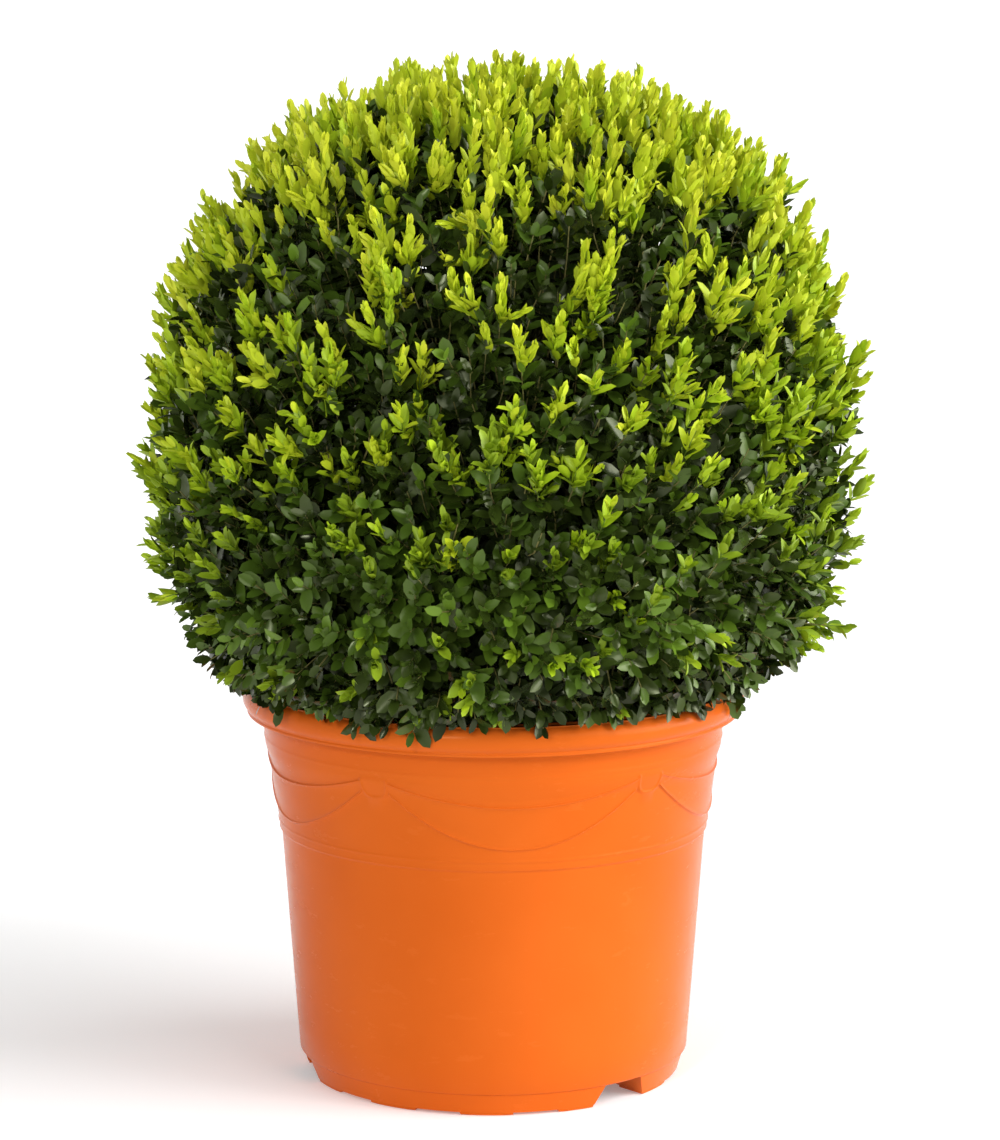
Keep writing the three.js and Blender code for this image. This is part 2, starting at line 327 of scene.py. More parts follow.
def wallHeights(turn):
    # rows of the wall's mesh: level round the foot and the collar, and gathered along the cords
    base, band, collar = pot["footHeight"], pot["bandHeight"], pot["collarHeight"] + 0.002
    top, low = swagLines(turn)[:2]
    near = np.array([-1.9, -1.2, -0.7, -0.3, 0, 0.3, 0.7, 1.2, 1.9])[:, None] * garland["cordWidth"]
    under = np.array([-0.0050, -0.0040, -0.0032, -0.0024])[:, None]
    plain = np.linspace(base + 0.0012, band - 0.003, 8)
    level = np.concatenate([plain, np.arange(band - 0.002, band + 0.0118, 0.0008)])
    lowRows, topRows = low + np.concatenate([under, near]), top + near
    steps = [np.linspace(0, 1, n + 2)[1:-1, None] for n in (3, 5, 3)]
    return np.concatenate([
        level[:, None] + 0 * turn,
        level[-1] * (1 - steps[0]) + lowRows[0] * steps[0],
        lowRows,
        lowRows[-1] * (1 - steps[1]) + topRows[0] * steps[1],
        topRows,
        topRows[-1] * (1 - steps[2]) + collar * steps[2],
        np.arange(collar, pot["neckHeight"] - 0.001, 0.0012)[:, None] + 0 * turn,
    ])


def lipPath():
    # from the neck out under the rolled rim, round its bead and its crest, and down inside
    neck, edge, crest = float(wallRadius(pot["neckHeight"])), pot["lipEdge"], potHigh.z
    return roundedPath([
        (neck, pot["neckHeight"] - 0.0005, 0),
        (neck + 0.0006, edge + 0.0024, 0.0015),
        (rimRadius - 0.0080, edge + 0.0022, 0.0004),
        (rimRadius - 0.0066, edge - 0.0004, 0.0004),
        (rimRadius - 0.0044, edge - 0.0004, 0.0007),
        (rimRadius - 0.0044, edge + 0.0013, 0.0006),
        (rimRadius - 0.0052, edge + 0.0024, 0.0010),
        (rimRadius + 0.0006, edge + 0.0085, 0.010),
        (rimRadius - 0.0030, crest - 0.0042, 0.011),
        (rimRadius - 0.0125, crest + 0.0006, 0.013),
        (rimRadius - 0.0192, crest - 0.0022, 0.004),
        (neck - pot["wall"], 0.290, 0.003),
        (neck - pot["wall"] - 0.001, 0.275, 0),
    ], 5)


def potWall():
    # one closed skin: up the outside, over the rim, down the inside and under the wall's foot
    base, turn = pot["footHeight"], potTurns()
    heights = wallHeights(turn)
    beads = sum(rise * np.exp(-((heights - (pot[line] + over)) / width) ** 2)
                for line, over, rise, width in pot["beads"])
    relief = garlandRelief(turn, heights, wallRadius(heights)) + beads
    inside = np.array([(float(wallRadius(z)) - pot["wall"], z) for z in (*pot["innerHeights"], base + 0.004)])
    ends = np.array([[pot["baseRadius"] - 0.001, base + 0.001], [pot["baseRadius"] + 0.0006, base + 0.0002]])
    plain = np.concatenate([lipPath(), inside, ends])
    radius = np.concatenate([wallRadius(heights) + relief, plain[:, :1] + 0 * turn])
    height = np.concatenate([heights, plain[:, 1:] + 0 * turn])
    points, quads = spun(radius, height, turn, closed=True)
    return meshPiece("potWall", points.reshape(-1, 3), quads, potPlastic)


foot = {
    "recess": 0.014,  # height of the raised middle
    "recessRadius": 0.118,
    "radius": 0.149,
    "spread": 0.0046,
    "columns": 180,
    "padHeight": 0.002,
    "padCount": 12,
    "padTurn": -2,  # degrees, as padWidth
    "padWidth": 16,
    "padReach": 0.026,
    "padInset": 0.0006,
    "padSteps": 7,
    "notchCount": 3,
    "notchTurn": 41.7,  # degrees
    "notchTop": 0.037,  # widths at the top and at the foot
    "notchFoot": 0.053,
    "notchDepth": 0.058,
    "drainCount": 6,
    "drainRadius": 0.006,
    "drainCircle": 0.084,
    "drainSides": 24,
    "drainHeights": (0.005, 0.03),  # of the cut, through the raised middle
}


def combine(body, other, operation):
    # an exact boolean; the second solid is used up
    modifier = body.modifiers.new("cut", "BOOLEAN")
    modifier.operation, modifier.solver, modifier.object = operation, "EXACT", other
    baked(body)
    bpy.data.objects.remove(other)


def onlyMaterial(piece, material):
    # faces cut by a solid without a material take the piece's own
    piece.data.materials.clear()
    piece.data.materials.append(material)
    piece.data.polygons.foreach_set("material_index", np.zeros(len(piece.data.polygons), np.int32))
    return piece


def footSolid(name, inset, top):
    # the volume under the wall, drawn in by inset
    profile = np.array([
        (foot["recessRadius"] + inset, foot["recess"] + inset),
        (foot["recessRadius"] + inset + 0.002, foot["padHeight"] + inset),
        (foot["radius"] - inset, foot["padHeight"] + inset),
        (foot["radius"] + foot["spread"] - inset, top),
    ])
    columns = foot["columns"]
    points, quads = spun(profile[:, :1], profile[:, 1:], evenTurns(columns))
    bottom = list(range(columns))[::-1]
    lid = list(range(3 * columns, 4 * columns))
    return solidFrom(name, points.reshape(-1, 3), [*quads.tolist(), bottom, lid])


def notchPrism(k, grow):
    # a drainage notch: it reaches in from outside the ring, and from just under the ground
    turn = math.radians(foot["notchTurn"] + 360 / foot["notchCount"] * k)
    halfTop, halfFoot = foot["notchTop"] / 2 + grow, foot["notchFoot"] / 2 + grow
    low, high = -0.01, pot["footHeight"] + grow
    halfLow = halfFoot + (halfFoot - halfTop) * -low / pot["footHeight"]
    near = foot["radius"] + 0.012
    far = near - foot["notchDepth"] - grow
    out = np.array([math.sin(turn), -math.cos(turn), 0])
    side = np.array([math.cos(turn), math.sin(turn), 0])
    ends = [[out * reach + side * across + upward * z for across, z in
             ((-halfLow, low), (halfLow, low), (halfTop, high), (-halfTop, high))] for reach in (near, far)]
    sides = [(i, i + 4, (i + 1) % 4 + 4, (i + 1) % 4) for i in range(4)]
    return solidFrom("notch", [*ends[0], *ends[1]], [(0, 1, 2, 3), (7, 6, 5, 4), *sides])


def drainHole(k):
    centre = around(foot["notchTurn"] + 360 / foot["drainCount"] * k, foot["drainCircle"], 0)
    count, radius = foot["drainSides"], foot["drainRadius"]
    rim = [(centre[0] + radius * math.cos(a), centre[1] + radius * math.sin(a))
           for a in np.arange(count) * math.pi / (count / 2)]
    ends = [(x, y, z) for z in foot["drainHeights"] for x, y in rim]
    walls = [(i, (i + 1) % count, (i + 1) % count + count, i + count) for i in range(count)]
    return solidFrom("drain", ends, [*walls, list(range(count))[::-1], list(range(count, 2 * count))])


def potFoot():
    # a moulded base: the ring and the raised middle are one skin, folded up over each notch
    body = footSolid("potFoot", 0, pot["footHeight"])
    hollow = footSolid("hollow", pot["wall"], pot["footHeight"] + 0.01)
    for k in range(foot["notchCount"]):
        combine(body, notchPrism(k, 0), "DIFFERENCE")
        combine(hollow, notchPrism(k, pot["wall"]), "DIFFERENCE")
    combine(body, hollow, "DIFFERENCE")
    for k in range(foot["drainCount"]):
        combine(body, drainHole(k), "DIFFERENCE")
    return onlyMaterial(body, potPlastic)


def padTree():
    # one pad, drawn at the front, is turned round the pot's middle
    tree, given, result = nodeGroup("padsRoundFoot", Count=int, Turn=float, Material=bpy.types.Material)
    middle = addNode(tree, "GeometryNodeMeshLine", None, {"Count": given["Count"], "Offset": (0, 0, 0)})
    index = addNode(tree, "GeometryNodeInputIndex").outputs["Index"]
    share = addNode(tree, "ShaderNodeMath", {"operation": "DIVIDE"}, {0: index, 1: given["Count"]})
    angle = addNode(tree, "ShaderNodeMath", {"operation": "MULTIPLY_ADD"},
                    {0: share.outputs[0], 1: 2 * math.pi, 2: given["Turn"]})
    turn = addNode(tree, "ShaderNodeCombineXYZ", None, {"Z": angle.outputs[0]})
    spread = addNode(tree, "GeometryNodeInstanceOnPoints", None,
                     {"Points": middle.outputs["Mesh"], "Instance": given["Geometry"],
                      "Rotation": turn.outputs[0]})
    return endTree(tree, given, result, spread.outputs["Instances"])


def potPads():
    # a pad with softened lower edges, set a little into the ring over it
    half = math.radians(foot["padWidth"] / 2)
    outer = [(foot["radius"] - foot["padInset"], a) for a in np.linspace(-half, half, foot["padSteps"])]
    inner = [(foot["radius"] - foot["padReach"], a) for a in np.linspace(half, -half, foot["padSteps"])]
    bm = bmesh.new()
    rows = [[bm.verts.new((r * math.sin(a), -r * math.cos(a), z)) for r, a in outer + inner]
            for z in (0, foot["padHeight"] + foot["padInset"])]
    bm.faces.new(rows[0][::-1])
    bm.faces.new(rows[1])
    count = len(rows[0])
    for i in range(count):
        bm.faces.new((rows[0][i], rows[0][(i + 1) % count], rows[1][(i + 1) % count], rows[1][i]))
    lower = [e for e in bm.edges if all(v.co.z < 0.0001 for v in e.verts)]
    bmesh.ops.bevel(bm, geom=lower, offset=0.0005, segments=2, affect="EDGES")
    mesh = bpy.data.meshes.new("potPads")
    bm.to_mesh(mesh)
    bm.free()
    piece = throughNodes(inScene("potPads", mesh), padTree(), Count=foot["padCount"],
                         Turn=math.radians(foot["padTurn"]), Material=potPlastic)
    for k in range(foot["notchCount"]):
        combine(piece, notchPrism(k, 0), "DIFFERENCE")
    return onlyMaterial(piece, potPlastic)


potPlastic = potMaterial()
finished(potWall(), "pot_plastic", "pot")
finished(potFoot(), "pot_plastic")
finished(potPads(), "pot_plastic")
print("pot: wall with garlands, foot and pads")


# The compost: dark peat with crumbs and bark chips.
compost = {
    "gap": 0.0006,  # to the pot's wall
    "floor": 0.021,
    "sideHeights": (0.03, 0.19, 0.208, 0.247, 0.27, 0.279),
    "sink": 0.004,  # how far the top sinks at the wall
    "rings": 26,
    "columns": 96,
    "unevenness": 0.0022,
    "waves": ((61, 83), (140, 97), (211, 250), (330, 290)),  # per metre, across and along
    "crumbSize": 0.0028,
    "crumbDensity": 16000,  # to a square metre
    "crumbEdge": 0.006,  # how far they keep from the wall
    "crumbSides": 48,
    "seed": 4,
}


def compostMaterial(name, colour, pale):
    # milled peat and bark: matt and nearly black when moist, with paler fibres about 1.5 mm thick
    material, tree, shader = newMaterial(name, colour, 0.92)
    place = addNode(tree, "ShaderNodeTexCoord").outputs["Object"]
    fibre = addNode(tree, "ShaderNodeTexNoise", None, {"Vector": place, "Scale": 700, "Detail": 6})
    tint = addNode(tree, "ShaderNodeMix", {"data_type": "RGBA"},
                   {0: fibre.outputs["Fac"], 6: linear(colour), 7: linear(pale)})
    tree.links.new(tint.outputs[2], shader.inputs["Base Color"])
    bump = addNode(tree, "ShaderNodeBump", None, {"Height": fibre.outputs["Fac"], "Distance": 0.0008})
    tree.links.new(bump.outputs["Normal"], shader.inputs["Normal"])
    return material


def compostFill():
    # the top is uneven, and sinks a little at the pot's wall
    floor = compost["floor"]
    rings = np.linspace(0, 1, compost["rings"]) ** 0.8
    sides = [(float(wallRadius(z)) - pot["wall"] - compost["gap"], z) for z in compost["sideHeights"]]
    edge = sides[-1][0]
    down = [(edge * share, compostTop - compost["sink"] * share ** 6) for share in rings[::-1]]
    profile = np.array([(0.0001, floor), (sides[0][0] - 0.01, floor), *sides, *down[:-1],
                        (0.0001, compostTop)])
    points, quads = spun(profile[:, :1], profile[:, 1:], evenTurns(compost["columns"]))
    top = points[2 + len(sides):]
    wave = sum(np.sin(top[..., 0] * a + k) * np.cos(top[..., 1] * b - k)
               for k, (a, b) in enumerate(compost["waves"]))
    top[..., 2] += compost["unevenness"] * wave / 4 - 0.001
    return meshPiece("compostFill", points.reshape(-1, 3), quads, peat)


def crumbTree():
    # flattened crumbs and chips, scattered and turned at random
    tree, given, result = nodeGroup("crumbsOnCompost", Density=float, Size=float, Seed=int,
                                    Material=bpy.types.Material)
    where = addNode(tree, "GeometryNodeDistributePointsOnFaces", None,
                    {"Mesh": given["Geometry"], "Density": given["Density"], "Seed": given["Seed"]})
    crumb = addNode(tree, "GeometryNodeMeshIcoSphere", None, {"Radius": given["Size"], "Subdivisions": 1})
    size = addNode(tree, "FunctionNodeRandomValue", {"data_type": "FLOAT_VECTOR"},
                   {0: (0.4, 0.3, 0.15), 1: (1.6, 1.0, 0.6), "Seed": given["Seed"]})
    turn = addNode(tree, "FunctionNodeRandomValue", {"data_type": "FLOAT_VECTOR"},
                   {0: (0, 0, 0), 1: (6.28, 6.28, 6.28), "Seed": given["Seed"]})
    spread = addNode(tree, "GeometryNodeInstanceOnPoints", None,
                     {"Points": where.outputs["Points"], "Instance": crumb.outputs["Mesh"],
                      "Rotation": turn.outputs[0], "Scale": size.outputs[0]})
    return endTree(tree, given, result, spread.outputs["Instances"])


def compostCrumbs():
    count = compost["crumbSides"]
    turn = np.arange(count) * math.pi / (count / 2)
    edge = float(wallRadius(compostTop)) - pot["wall"] - compost["crumbEdge"]
    rim = np.stack([edge * np.sin(turn), -edge * np.cos(turn), np.full(count, compostTop - 0.0015)], -1)
    disc = meshPiece("compostCrumbs", np.vstack([[(0, 0, compostTop)], rim]),
                     [(0, i + 1, (i + 1) % count + 1) for i in range(count)], chips)
    return throughNodes(disc, crumbTree(), Density=compost["crumbDensity"], Size=compost["crumbSize"],
                        Seed=compost["seed"], Material=chips)


peat = compostMaterial("milledPeat", "231811", "3b2b1f")
chips = compostMaterial("barkChips", "3a2819", "6b4d33")
finished(compostFill(), "compost", "compost")
finished(compostCrumbs(), "compost")
print("compost: fill and crumbs")


# Growth: every limb is a curve from its parent. Stem, boughs, branches, twigs, then leafy shoots.
ball = {
    "tuft": 0.022,  # how far the tallest shoots stand over the clipped surface
    "squareTop": 2.4,  # power of the outline: 2 is a circle, and more is squarer
    "squareFoot": 2.5,
    "riseShare": 1.06,  # height over the middle, and depth under it, in radii
    "dropShare": 1.01,
    "lump": 0.007,
    # where the shears cut closer or less close: towards, by how much, and over what width
    "leans": [((-0.72, 0, 0.7), -0.014, 0.5), ((0.85, 0, -0.5), 0.012, 0.45),
              ((-0.88, 0, -0.3), -0.006, 0.35), ((1, 0, 0.1), 0.007, 0.5), ((-1, 0, 0.1), -0.006, 0.5)],
}

growth = {
    "seed": 12,
    "lowestShoot": -0.62,  # height share of the lowest direction; the limbs inside keep above it
    "girthRange": (0.85, 1.15),
    "clearance": 0.014,  # over the compost
    # depth is the share of the way out to the clipped surface, steps are the spans of a limb's curve,
    # and forks are the points of its parent that it may leave from
    "branches": {"count": 78, "above": 0.1, "jitter": 0.16, "depth": 0.46, "shake": 0.10, "lift": 0.55,
                 "steps": 12, "forks": (9, 29), "sides": 8, "girth": 0.0034, "tip": 0.0022},
    "twigs": {"count": 520, "above": 0.03, "jitter": 0.16, "depth": 0.72, "shake": 0.05, "lift": 0.45,
              "steps": 8, "forks": (8, 13), "sides": 6, "girth": 0.0020, "tip": 0.0012},
    "shoots": {"count": 2850, "above": 0, "jitter": 0.30, "steps": 10, "forks": (4, 9), "sides": 3,
               "girth": 0.00115, "tip": 0.0005},
    "newStems": {"steps": 6, "sides": 3, "girth": 0.0006, "tip": 0.0003},
}

ballRadius = (crownHigh.x - crownLow.x + crownHigh.y - crownLow.y) / 4 - 0.65 * ball["tuft"]
ballRise, ballDrop = ballRadius * ball["riseShare"], ballRadius * ball["dropShare"]
ballCentre = np.array([0, 0, crownHigh.z - ball["tuft"] - ballRise])
random = np.random.default_rng(growth["seed"])


def randomWaves(count, slowest, fastest):
    # each wave has a direction, a pace and a phase
    return [(unit(random.normal(size=3)), random.uniform(slowest, fastest), random.uniform(0, 6.28))
            for _ in range(count)]


def waveSum(out, waves):
    return sum(np.sin(pace * out @ axis + phase) for axis, pace, phase in waves)


lumps = randomWaves(7, 4, 13)


def clippedRadius(out):
    # distance from the ball's centre to the clipped surface
    rising = out[:, 2] > 0
    power = np.where(rising, ball["squareTop"], ball["squareFoot"])
    level = (np.hypot(out[:, 0], out[:, 1]) / ballRadius) ** power
    upright = (np.abs(out[:, 2]) / np.where(rising, ballRise, ballDrop)) ** power
    lean = sum(amount * np.exp(-((1 - out @ unit(np.array(toward))) / spread ** 2 * 2))
               for toward, amount, spread in ball["leans"])
    return (level + upright) ** (-1 / power) + ball["lump"] * (waveSum(out, lumps) / len(lumps)) + lean


def spreadDirections(plan):
    # an even spiral of directions over the ball, down to the lowest height share, shaken a little
    count, lowest = plan["count"], growth["lowestShoot"] + plan["above"]
    share = (np.arange(count) + 0.5) / count
    z = 1 - share * (1 - lowest)
    turn = np.arange(count) * math.pi * (3 - math.sqrt(5))
    level = np.sqrt(1 - z * z)
    out = np.stack([level * np.cos(turn), level * np.sin(turn), z], -1)
    spacing = math.sqrt(2 * math.pi * (1 - lowest) / count)
    return unit(out + random.normal(size=out.shape) * spacing * plan["jitter"])


def cubic(a, b, c, d, steps):
    t = np.linspace(0, 1, steps + 1)[:, None]
    return a * (1 - t) ** 3 + 3 * b * t * (1 - t) ** 2 + 3 * c * t * t * (1 - t) + d * t ** 3


def bezier(start, leaving, end, arriving, steps):
    # arrays of curves that leave and arrive in the given directions, shape (count, steps + 1, 3)
    slack = np.linalg.norm(end - start, axis=-1, keepdims=True) * 0.35
    return cubic(start[:, None], (start + leaving * slack)[:, None],
                 (end - arriving * slack)[:, None], end[:, None], steps)


def nearest(points, others):
    return np.array([np.argmin(((others - p) ** 2).sum(-1)) for p in points])


def limbTree():
    # a round limb along every path, as thick as the path's girth
    tree, given, result = nodeGroup("limbsAlongPaths", Sides=int, Material=bpy.types.Material)
    girth = addNode(tree, "GeometryNodeInputNamedAttribute", {"data_type": "FLOAT"}, {"Name": "girth"})
    path = addNode(tree, "GeometryNodeMeshToCurve", None, {"Mesh": given["Geometry"]})
    ring = addNode(tree, "GeometryNodeCurvePrimitiveCircle", None,
                   {"Resolution": given["Sides"], "Radius": 1.0})
    limbs = addNode(tree, "GeometryNodeCurveToMesh", None,
                    {"Curve": path.outputs["Curve"], "Profile Curve": ring.outputs["Curve"],
                     "Scale": girth.outputs["Attribute"], "Fill Caps": True})
    return endTree(tree, given, result, limbs.outputs["Mesh"])


def limbPiece(name, paths, plan, material, kept=slice(None)):
    # every path thins from its girth to its tip; kept picks the points that the mesh needs
    taper = np.linspace(plan["girth"], plan["tip"], plan["steps"] + 1)
    girths = taper[None] * random.uniform(*growth["girthRange"], (len(paths), 1))
    paths, girths = paths[:, kept], girths[:, kept]
    count, steps = paths.shape[:2]
    mesh = bpy.data.meshes.new(name)
    mesh.vertices.add(count * steps)
    mesh.vertices.foreach_set("co", paths.astype(np.float32).ravel())
    low = (np.arange(count)[:, None] * steps + np.arange(steps - 1)).ravel()
    mesh.edges.add(len(low))
    mesh.edges.foreach_set("vertices", np.stack([low, low + 1], -1).astype(np.int32).ravel())
    thickness = mesh.attributes.new("girth", "FLOAT", "POINT")
    thickness.data.foreach_set("value", girths.astype(np.float32).ravel())
    piece = throughNodes(inScene(name, mesh), limbsAlongPaths, Sides=plan["sides"], Material=material)
    piece.data.shade_smooth()
    return piece


limbsAlongPaths = limbTree()


# Wood.
wood = {
    "stemGirth": 0.013,
    "stemFoot": 0.024,
    "stemTaper": 0.12,
    "stemSteps": 26,
    "flares": 4,  # of the root
    "boughs": 6,
    "boughGirth": 0.0066,
    "boughTip": 0.0042,
    "boughTurn": 17,  # degrees
    "boughSpread": 0.035,
    "boughFoot": 0.0237,  # height of the lowest over the compost
    "boughStagger": 0.008,  # what the second and the third add, in turn
    "boughSteps": 29,
    "sides": 28,
    "ridges": 11,
    "ridgeDepth": 0.0007,
}


def barkMaterial(name, colour, crack):
    # box bark: pale grey-brown, corky, cracked into small plates along the limb
    material, tree, shader = newMaterial(name, colour, 0.85)
    place = addNode(tree, "ShaderNodeTexCoord").outputs["Object"]
    along = addNode(tree, "ShaderNodeMapping", None, {"Vector": place, "Scale": (1, 1, 0.35)})
    plateSize = 0.004
    plates = addNode(tree, "ShaderNodeTexVoronoi", {"feature": "DISTANCE_TO_EDGE"},
                     {"Vector": along.outputs["Vector"], "Scale": 1 / plateSize})
    cracks = addNode(tree, "ShaderNodeMapRange", None,
                     {"Value": plates.outputs["Distance"], "From Max": 0.12})
    tint = addNode(tree, "ShaderNodeMix", {"data_type": "RGBA"},
                   {0: cracks.outputs["Result"], 6: linear(crack), 7: linear(colour)})
    tree.links.new(tint.outputs[2], shader.inputs["Base Color"])
    bump = addNode(tree, "ShaderNodeBump", None, {"Height": cracks.outputs["Result"], "Distance": 0.0006})
    tree.links.new(bump.outputs["Normal"], shader.inputs["Normal"])
    return material


def barkLimb(name, path, girthAt):
    # a limb with the bark's ridges in its mesh, closed at both ends
    steps, sides = len(path), wood["sides"]
    tangent = unit(np.gradient(path, axis=0))
    side = unit(np.cross(tangent, [0.31, 0.9, 0.1]))
    other = np.cross(tangent, side)
    angle = np.arange(sides) * 2 * math.pi / sides
    share = np.linspace(0, 1, steps)[:, None]
    broken = np.sin(23 * share + 2 * np.sin(3 * angle))  # ridges swell and fade along the limb
    ridge = np.sin(wood["ridges"] * angle + 5 * np.sin(3 * share)) * broken
    radius = girthAt(share, angle) + wood["ridgeDepth"] * ridge * girthAt(share, angle) / wood["stemGirth"]
    rings = path[:, None] + radius[..., None] * (side[:, None] * np.cos(angle)[None, :, None]
                                                 + other[:, None] * np.sin(angle)[None, :, None])
    low = (np.arange(steps - 1)[:, None] * sides + np.arange(sides)).ravel()
    ahead = np.tile(np.roll(np.arange(sides), -1) - np.arange(sides), steps - 1)
    walls = np.stack([low, low + ahead, low + ahead + sides, low + sides], -1).tolist()
    caps = [list(range(sides))[::-1], list(range((steps - 1) * sides, steps * sides))]
    piece = solidFrom(name, rings.reshape(-1, 3), walls + caps)
    piece.data.shade_smooth()
    piece.data.materials.append(bark)
    return piece


def stemGirth(share, angle):
    # tapers upwards, and swells into the root flares at its foot
    swell = (wood["stemFoot"] - wood["stemGirth"]) * np.exp(-7 * share)
    flared = swell * (1 + 0.22 * np.cos(wood["flares"] * angle))
    return wood["stemGirth"] * (1 - wood["stemTaper"] * share) + flared


def boughGirth(share, angle):
    return wood["boughTip"] + (wood["boughGirth"] - wood["boughTip"]) * (1 - share) + 0 * angle


def boughPath(k):
    # leaves the stem's side, then rises to the foot of the leaves
    turn = wood["boughTurn"] + 360 / wood["boughs"] * k
    low = stemLow.z + wood["boughFoot"] + wood["boughStagger"] * (k % 3)
    rise, spread = (boughTop + 0.0003 - low) / 4, wood["boughSpread"]
    return cubic(around(turn, 0.004, low), around(turn, 0.65 * spread, low + 0.6 * rise),
                 around(turn + 5, 0.9 * spread, low + 2 * rise), around(turn + 10, spread, boughTop),
                 wood["boughSteps"])


def upright(start, end, steps):
    # one curve that leaves and arrives straight up
    return bezier(np.array([start]), upward[None], np.array([end]), upward[None], steps)[0]


def joinPieces(name, pieces):
    with bpy.context.temp_override(active_object=pieces[0], object=pieces[0], selected_objects=pieces,
                                   selected_editable_objects=pieces):
        bpy.ops.object.join()
    pieces[0].name = pieces[0].data.name = name
    return pieces[0]


bark = barkMaterial("corkyBoxBark", "8d7a58", "4a3b28")
stemPath = upright([0.0028, -0.0021, stemLow.z], [-0.0012, 0.0009, stemHigh.z], wood["stemSteps"])
leader = upright([-0.001, 0.001, stemHigh.z - 0.008], [0.003, 0.002, boughTop + 0.006], wood["boughSteps"])
boughPaths = [*[boughPath(k) for k in range(wood["boughs"])], leader]
stem = barkLimb("stemBark", stemPath, stemGirth)
boughs = [barkLimb(f"bough{k}", path, boughGirth) for k, path in enumerate(boughPaths)]
finished(stem, "bark", "stem")
finished(joinPieces("boughBark", boughs), "bark", "bough_leader", *[f"bough_{k}" for k in range(1, 7)])
print("wood: stem and boughs with bark")


# Branches and twigs fan out from the boughs, each from the nearest limb of the kind before it.
def limbEnds(out, plan):
    # where limbs end inside the ball, and the way they point there: outwards, and turned up to the light
    radius = clippedRadius(out) * plan["depth"] * (1 + random.normal(size=len(out)) * plan["shake"])
    ends = ballCentre + out * radius[:, None]
    ends[:, 2] = np.maximum(ends[:, 2], compostTop + growth["clearance"])
    rise = plan["lift"] * (0.35 + 0.65 * smooth(out[:, 2:], -0.6, 0.4))
    return ends, unit(out * (1 - rise) + upward * rise + random.normal(size=out.shape) * 0.12)


plan = growth["branches"]
branchOut = spreadDirections(plan)
branchEnd, branchAim = limbEnds(branchOut, plan)
# a branch takes the bough that stands on its own side, and forks from it lower than it ends
boughTips = np.array([path[-1] for path in boughPaths])
chosen = nearest(unit((branchEnd - ballCentre) * [1, 1, 0.35]),
                 unit((boughTips - ballCentre) * [1, 1, 0.0] + 0.001 * upward))
climb = (branchEnd[:, 2] - 0.06 - stemHigh.z) / (boughTop - stemHigh.z)
step = np.clip((climb * wood["boughSteps"]).astype(int), *plan["forks"])
forks = [(boughPaths[k], s) for k, s in zip(chosen, step)]
branchStart = np.array([path[s] for path, s in forks])
boughWay = np.array([path[s] - path[s - 3] for path, s in forks])
branchPaths = bezier(branchStart, unit(boughWay * 60 + branchOut * 0.5), branchEnd, branchAim, plan["steps"])

plan = growth["twigs"]
twigOut = spreadDirections(plan)
twigEnd, twigAim = limbEnds(twigOut, plan)
parent = nearest(twigEnd, branchEnd + 0.03 * branchAim)
fork = random.integers(*plan["forks"], len(parent))
leaving = unit(branchPaths[parent, fork] - branchPaths[parent, fork - 1])
twigPaths = bezier(branchPaths[parent, fork], unit(leaving + 0.4 * twigOut), twigEnd, twigAim, plan["steps"])

# bark of the last few years: still smooth and dull, greyed where it is older
twigBark = newMaterial("greyGreenTwigBark", "77713c", 0.7)[0]
greenBark = newMaterial("youngGreenBark", "6f8a2c", 0.55)[0]
finished(limbPiece("branches", branchPaths, growth["branches"], bark), "bark")
finished(limbPiece("twigs", twigPaths, growth["twigs"], twigBark), "bark")
print("growth:", len(branchPaths), "branches,", len(twigPaths), "twigs")


# Leafy shoots. Old wood carries pairs of dark leaves up to the clipped surface; this year's growth stands
# on it, closely packed with small bright leaves, most of it on the sunny top.
shoot = {
    "scatter": 0.22,  # of the way they point
    "lift": (0.10, 0.95),  # how far they turn up, low down and what higher ones add
    "newReach": (0.022, 0.020),  # length of the new growth, in the same way
    "newProud": (-0.015, 0.012),  # how far tips stand over the clipped surface, with new growth
    "oldSunk": (0.006, 0.030),  # and how far under it without
    "companions": 0.7,
    "clumps": 0.6,  # how far the new growth keeps together in patches
    "strays": 0.07,  # share of shoots that stand out further, and how far
    "strayReach": (0.005, 0.013),
    "skirt": 360,  # extra shoots that spread over the pot's rim
    "skirtHeights": (-0.73, -0.60),  # of their directions
    "skirtLift": 0.05,
    "skirtProud": (-0.012, 0.002),
    "skirtBright": 0.06,  # share of the skirt with new growth
    "rimClearance": 0.005,
    "underEdge": 0.196,  # radius from which the ball's underside rises outwards
    "underSlope": 0.54,
    "drapes": 0.08,  # share of the skirt that hangs over the rim
    "lipCurve": 0.014,
}


def shootDirections():
    # all over the ball, then the skirt round its foot
    out, count = spreadDirections(growth["shoots"]), shoot["skirt"]
    turn = (np.arange(count) + random.uniform(-0.4, 0.4, count)) * 2 * math.pi / count
    z = random.uniform(*shoot["skirtHeights"], count)
    level = np.sqrt(1 - z ** 2)
    return np.vstack([out, np.stack([level * np.cos(turn), level * np.sin(turn), z], -1)])


def sunnyShare(out):
    # the share of shoots with new growth: most on the top, more at both sides and on the +X shoulder,
    # and in patches further down
    x, z = out[:, 0], out[:, 2]
    share = 0.08 + 0.20 * smooth(z, -0.65, 0.05) + 0.46 * smooth(z, 0.52, 0.86)
    share += 0.10 * smooth(np.abs(x), 0.7, 0.95) + 0.16 * smooth(x, 0.2, 0.8) * smooth(z, 0, 0.5)
    clump = waveSum(out, randomWaves(6, 15, 30)) / math.sqrt(3)
    return share * (1 + shoot["clumps"] * clump * (1 - smooth(z, 0.6, 0.9)))


